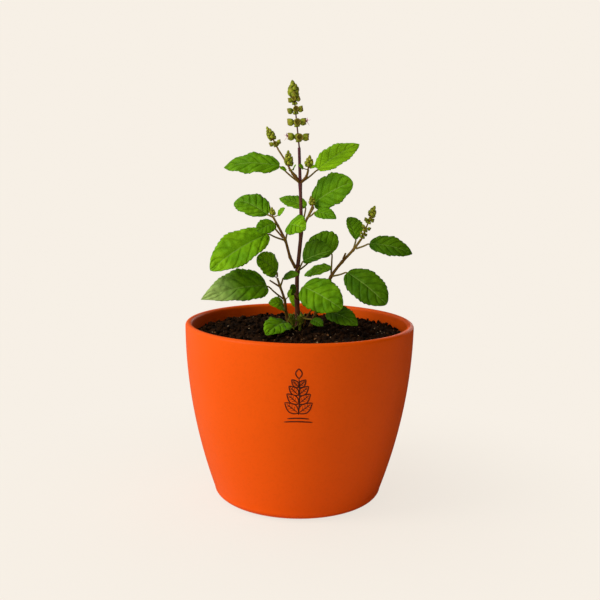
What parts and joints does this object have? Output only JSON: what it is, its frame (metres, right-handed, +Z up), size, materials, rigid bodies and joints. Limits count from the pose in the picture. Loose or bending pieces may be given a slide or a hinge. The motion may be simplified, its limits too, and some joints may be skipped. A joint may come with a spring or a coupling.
{
  "type": "potted holy basil plant",
  "caption": "Flowering holy basil plant growing in potting soil in a round bowed pot with a drainage hole.",
  "frame": {"origin": "middle of the flat underside of the pot, on the pot's axis", "axes": "+Z up along the pot's axis towards the plant's tip, -Y towards the side with most leaves, +X to the right seen from there"},
  "size_m": [0.15, 0.15, 0.274],
  "materials": {
    "pot_orange": "satin",
    "potting_soil": "matt, damp and crumbly",
    "stem_bark": "matt, finely haired",
    "young_stem": "matt",
    "leaf_green": "satin, veined",
    "seed_cup_olive": "matt"
  },
  "bodies": {
    "root": {"pot": "pot_orange", "soil": "potting_soil", "main_stem": "stem_bark", "right_branch": "stem_bark", "lower_left_branch": "stem_bark", "middle_left_branch": "stem_bark", "upper_right_shoot": "stem_bark", "left_flower_stalk": "stem_bark", "left_short_flower_stalk": "stem_bark", "right_flower_stalk": "stem_bark", "cut_stub_left": "stem_bark", "cut_stub_lower_left": "stem_bark", "side_stub_right": "stem_bark", "base_shoot_front": "young_stem", "base_shoot_left": "young_stem", "base_twig": "stem_bark", "leaf_top_left": "leaf_green", "leaf_top_right": "leaf_green", "leaf_upper_right_large": "leaf_green", "leaf_upper_right_small": "leaf_green", "leaf_upper_left": "leaf_green", "leaf_middle_left_round": "leaf_green", "leaf_middle_left_tiny": "leaf_green", "leaf_middle_left_small": "leaf_green", "leaf_middle_left_large": "leaf_green", "leaf_middle_front": "leaf_green", "leaf_stem_small": "leaf_green", "leaf_right_upright": "leaf_green", "leaf_right_back": "leaf_green", "leaf_right_dark": "leaf_green", "leaf_far_right": "leaf_green", "leaf_right_shoot": "leaf_green", "leaf_lower_left_round": "leaf_green", "leaf_lower_left_small": "leaf_green", "leaf_lower_left_tiny": "leaf_green", "leaf_lower_left_large": "leaf_green", "leaf_base_left": "leaf_green", "leaf_base_curled": "leaf_green", "leaf_base_pale": "leaf_green", "leaf_base_front": "leaf_green", "leaf_base_right_small": "leaf_green", "leaf_base_back": "leaf_green", "leaf_front_large": "leaf_green", "leaf_front_lobe": "leaf_green", "leaf_base_right": "leaf_green", "leaf_back_upper": "leaf_green", "leaf_back_lower": "leaf_green", "bract_top_left_outer": "leaf_green", "bract_top_left_inner": "leaf_green", "bract_top_right_inner": "leaf_green", "bract_top_right_outer": "leaf_green", "flower_spike_main": "seed_cup_olive", "flower_spike_left": "seed_cup_olive", "flower_spike_right": "seed_cup_olive", "flower_spike_young_left": "seed_cup_olive", "flower_spike_young_right": "seed_cup_olive", "flower_bud_upper_right": "seed_cup_olive", "flower_bud_middle_left": "seed_cup_olive"}
  },
  "joints": []
}
